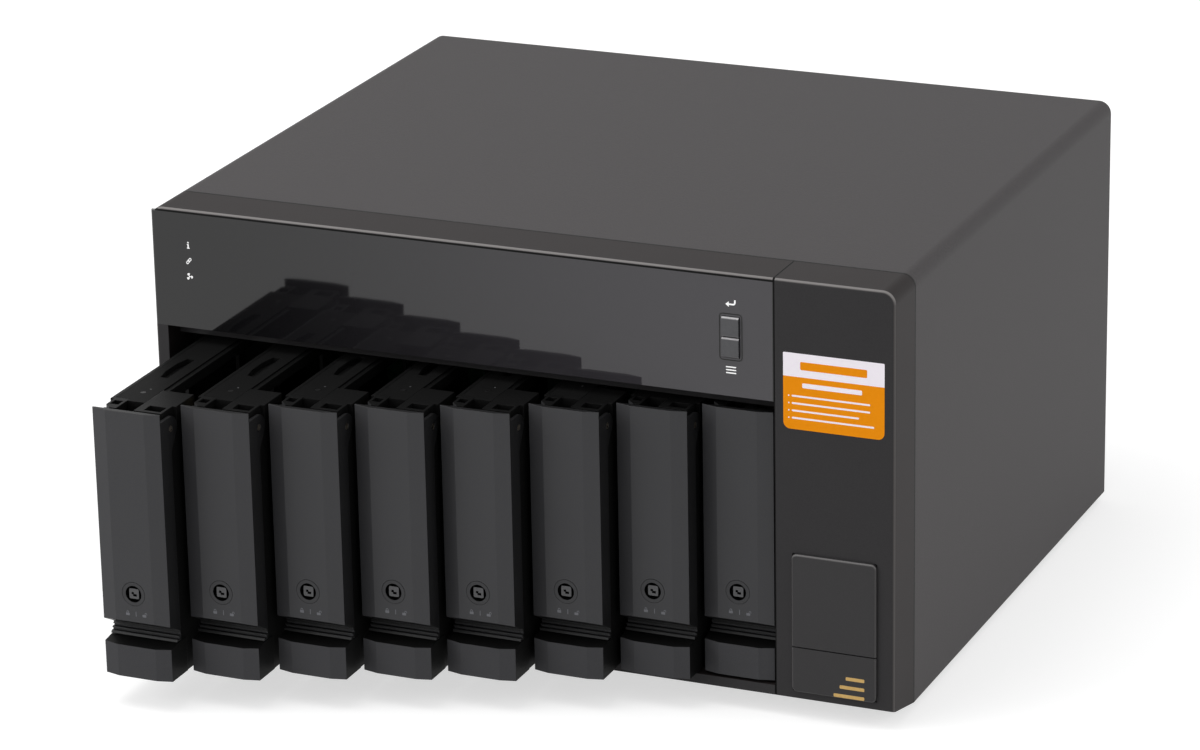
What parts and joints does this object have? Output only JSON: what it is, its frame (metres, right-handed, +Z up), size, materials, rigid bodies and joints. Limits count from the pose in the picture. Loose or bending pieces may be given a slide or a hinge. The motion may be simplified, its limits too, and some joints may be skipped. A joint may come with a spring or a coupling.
{
  "type": "disk shelf enclosure",
  "caption": "Desktop disk enclosure: painted metal case, glossy front strip and side column, with slide-out drive trays whose hinged faces carry key locks.",
  "frame": {"origin": "on the table plane, under the middle of the box round the case and its trays as they stand pulled out", "axes": "+Z up; the front with the trays faces -Y; +X to the right seen from the front, where the side column is"},
  "size_m": [0.3292, 0.368, 0.1877],
  "materials": {
    "painted_steel": "fine matt grey powder coat",
    "front_moulding": "satin grey moulding",
    "plate_plastic": "satin dark grey",
    "gloss_panel": "polished black",
    "button_plastic": "polished near-black",
    "circuit_board": "lacquered green board",
    "port_metal": "plated port cages",
    "plated_steel": "bare plated sheet",
    "fan_plastic": "black moulding",
    "inlet_plastic": "black moulding",
    "foot_rubber": "matt black",
    "tray_plastic": "fine-textured dark grey",
    "handle_plastic": "satin dark grey",
    "strip_plastic": "satin dark grey",
    "lock_metal": "dull plated barrel"
  },
  "bodies": {
    "chassis": {"case_cover": "painted_steel", "base_pan": "painted_steel", "rear_panel": "painted_steel", "front_bezel": "front_moulding", "column_bezel": "front_moulding", "column_plates": "plate_plastic", "display_panel": "gloss_panel", "front_board": "circuit_board", "drive_cage": "plated_steel", "cage_roof": "plated_steel", "backplane_board": "circuit_board", "fan_frames": "fan_plastic", "power_supply": "plated_steel", "ac_inlet": "inlet_plastic", "host_board": "port_metal", "feet": "foot_rubber"},
    "enter_button": {"enter_button": "button_plastic"},
    "select_button": {"select_button": "button_plastic"},
    "fan_left": {"fan_rotor_left": "fan_plastic"},
    "fan_right": {"fan_rotor_right": "fan_plastic"},
    "supply_fan": {"psu_fan_rotor": "fan_plastic"},
    "tray_1": {"tray_frame_1": "tray_plastic", "tray_strips_1": "strip_plastic"},
    "handle_1": {"tray_handle_1": "handle_plastic"},
    "lock_1": {"tray_lock_1": "lock_metal"},
    "tray_2": {"tray_frame_2": "tray_plastic", "tray_strips_2": "strip_plastic"},
    "handle_2": {"tray_handle_2": "handle_plastic"},
    "lock_2": {"tray_lock_2": "lock_metal"},
    "tray_3": {"tray_frame_3": "tray_plastic", "tray_strips_3": "strip_plastic"},
    "handle_3": {"tray_handle_3": "handle_plastic"},
    "lock_3": {"tray_lock_3": "lock_metal"},
    "tray_4": {"tray_frame_4": "tray_plastic", "tray_strips_4": "strip_plastic"},
    "handle_4": {"tray_handle_4": "handle_plastic"},
    "lock_4": {"tray_lock_4": "lock_metal"},
    "tray_5": {"tray_frame_5": "tray_plastic", "tray_strips_5": "strip_plastic"},
    "handle_5": {"tray_handle_5": "handle_plastic"},
    "lock_5": {"tray_lock_5": "lock_metal"},
    "tray_6": {"tray_frame_6": "tray_plastic", "tray_strips_6": "strip_plastic"},
    "handle_6": {"tray_handle_6": "handle_plastic"},
    "lock_6": {"tray_lock_6": "lock_metal"},
    "tray_7": {"tray_frame_7": "tray_plastic", "tray_strips_7": "strip_plastic"},
    "handle_7": {"tray_handle_7": "handle_plastic"},
    "lock_7": {"tray_lock_7": "lock_metal"},
    "tray_8": {"tray_frame_8": "tray_plastic", "tray_strips_8": "strip_plastic"},
    "handle_8": {"tray_handle_8": "handle_plastic"},
    "lock_8": {"tray_lock_8": "lock_metal"}
  },
  "joints": [
    {"name": "enter_press", "type": "slide", "parent": "chassis", "child": "enter_button", "axis": [0, 1, 0], "range_m": [0, 0.0008], "stiffness_N_per_m": 400},
    {"name": "select_press", "type": "slide", "parent": "chassis", "child": "select_button", "axis": [0, 1, 0], "range_m": [0, 0.0008], "stiffness_N_per_m": 400},
    {"name": "fan_left_spin", "type": "hinge", "parent": "chassis", "child": "fan_left", "pos_m": [-0.08475, 0.16625, 0.074], "axis": [0, 1, 0], "continuous": true},
    {"name": "fan_right_spin", "type": "hinge", "parent": "chassis", "child": "fan_right", "pos_m": [0.03925, 0.16625, 0.074], "axis": [0, 1, 0], "continuous": true},
    {"name": "supply_fan_spin", "type": "hinge", "parent": "chassis", "child": "supply_fan", "pos_m": [0.13825, 0.16625, 0.0289], "axis": [0, 1, 0], "continuous": true},
    {"name": "tray_1_slide", "type": "slide", "parent": "chassis", "child": "tray_1", "axis": [0, -1, 0], "range_m": [-0.0885, 0.1065]},
    {"name": "handle_1_hinge", "type": "hinge", "parent": "tray_1", "child": "handle_1", "pos_m": [-0.13245, -0.17355, 0.1218], "axis": [-1, 0, 0], "range_deg": [0, 40]},
    {"name": "lock_1_turn", "type": "hinge", "parent": "handle_1", "child": "lock_1", "pos_m": [-0.13245, -0.18105, 0.0517], "axis": [0, 1, 0], "range_deg": [0, 90]},
    {"name": "tray_2_slide", "type": "slide", "parent": "chassis", "child": "tray_2", "axis": [0, -1, 0], "range_m": [-0.0745, 0.1205]},
    {"name": "handle_2_hinge", "type": "hinge", "parent": "tray_2", "child": "handle_2", "pos_m": [-0.09965, -0.15955, 0.1218], "axis": [-1, 0, 0], "range_deg": [0, 40]},
    {"name": "lock_2_turn", "type": "hinge", "parent": "handle_2", "child": "lock_2", "pos_m": [-0.09965, -0.16705, 0.0517], "axis": [0, 1, 0], "range_deg": [0, 90]},
    {"name": "tray_3_slide", "type": "slide", "parent": "chassis", "child": "tray_3", "axis": [0, -1, 0], "range_m": [-0.061, 0.134]},
    {"name": "handle_3_hinge", "type": "hinge", "parent": "tray_3", "child": "handle_3", "pos_m": [-0.06685, -0.14605, 0.1218], "axis": [-1, 0, 0], "range_deg": [0, 40]},
    {"name": "lock_3_turn", "type": "hinge", "parent": "handle_3", "child": "lock_3", "pos_m": [-0.06685, -0.15355, 0.0517], "axis": [0, 1, 0], "range_deg": [0, 90]},
    {"name": "tray_4_slide", "type": "slide", "parent": "chassis", "child": "tray_4", "axis": [0, -1, 0], "range_m": [-0.049, 0.146]},
    {"name": "handle_4_hinge", "type": "hinge", "parent": "tray_4", "child": "handle_4", "pos_m": [-0.03405, -0.13405, 0.1218], "axis": [-1, 0, 0], "range_deg": [0, 40]},
    {"name": "lock_4_turn", "type": "hinge", "parent": "handle_4", "child": "lock_4", "pos_m": [-0.03405, -0.14155, 0.0517], "axis": [0, 1, 0], "range_deg": [0, 90]},
    {"name": "tray_5_slide", "type": "slide", "parent": "chassis", "child": "tray_5", "axis": [0, -1, 0], "range_m": [-0.038, 0.157]},
    {"name": "handle_5_hinge", "type": "hinge", "parent": "tray_5", "child": "handle_5", "pos_m": [-0.00125, -0.12305, 0.1218], "axis": [-1, 0, 0], "range_deg": [0, 40]},
    {"name": "lock_5_turn", "type": "hinge", "parent": "handle_5", "child": "lock_5", "pos_m": [-0.00125, -0.13055, 0.0517], "axis": [0, 1, 0], "range_deg": [0, 90]},
    {"name": "tray_6_slide", "type": "slide", "parent": "chassis", "child": "tray_6", "axis": [0, -1, 0], "range_m": [-0.024, 0.171]},
    {"name": "handle_6_hinge", "type": "hinge", "parent": "tray_6", "child": "handle_6", "pos_m": [0.03155, -0.10905, 0.1218], "axis": [-1, 0, 0], "range_deg": [0, 40]},
    {"name": "lock_6_turn", "type": "hinge", "parent": "handle_6", "child": "lock_6", "pos_m": [0.03155, -0.11655, 0.0517], "axis": [0, 1, 0], "range_deg": [0, 90]},
    {"name": "tray_7_slide", "type": "slide", "parent": "chassis", "child": "tray_7", "axis": [0, -1, 0], "range_m": [-0.011, 0.184]},
    {"name": "handle_7_hinge", "type": "hinge", "parent": "tray_7", "child": "handle_7", "pos_m": [0.06435, -0.09605, 0.1218], "axis": [-1, 0, 0], "range_deg": [0, 40]},
    {"name": "lock_7_turn", "type": "hinge", "parent": "handle_7", "child": "lock_7", "pos_m": [0.06435, -0.10355, 0.0517], "axis": [0, 1, 0], "range_deg": [0, 90]},
    {"name": "tray_8_slide", "type": "slide", "parent": "chassis", "child": "tray_8", "axis": [0, -1, 0], "range_m": [0, 0.195]},
    {"name": "handle_8_hinge", "type": "hinge", "parent": "tray_8", "child": "handle_8", "pos_m": [0.09715, -0.08505, 0.1218], "axis": [-1, 0, 0], "range_deg": [0, 40]},
    {"name": "lock_8_turn", "type": "hinge", "parent": "handle_8", "child": "lock_8", "pos_m": [0.09715, -0.09255, 0.0517], "axis": [0, 1, 0], "range_deg": [0, 90]}
  ]
}
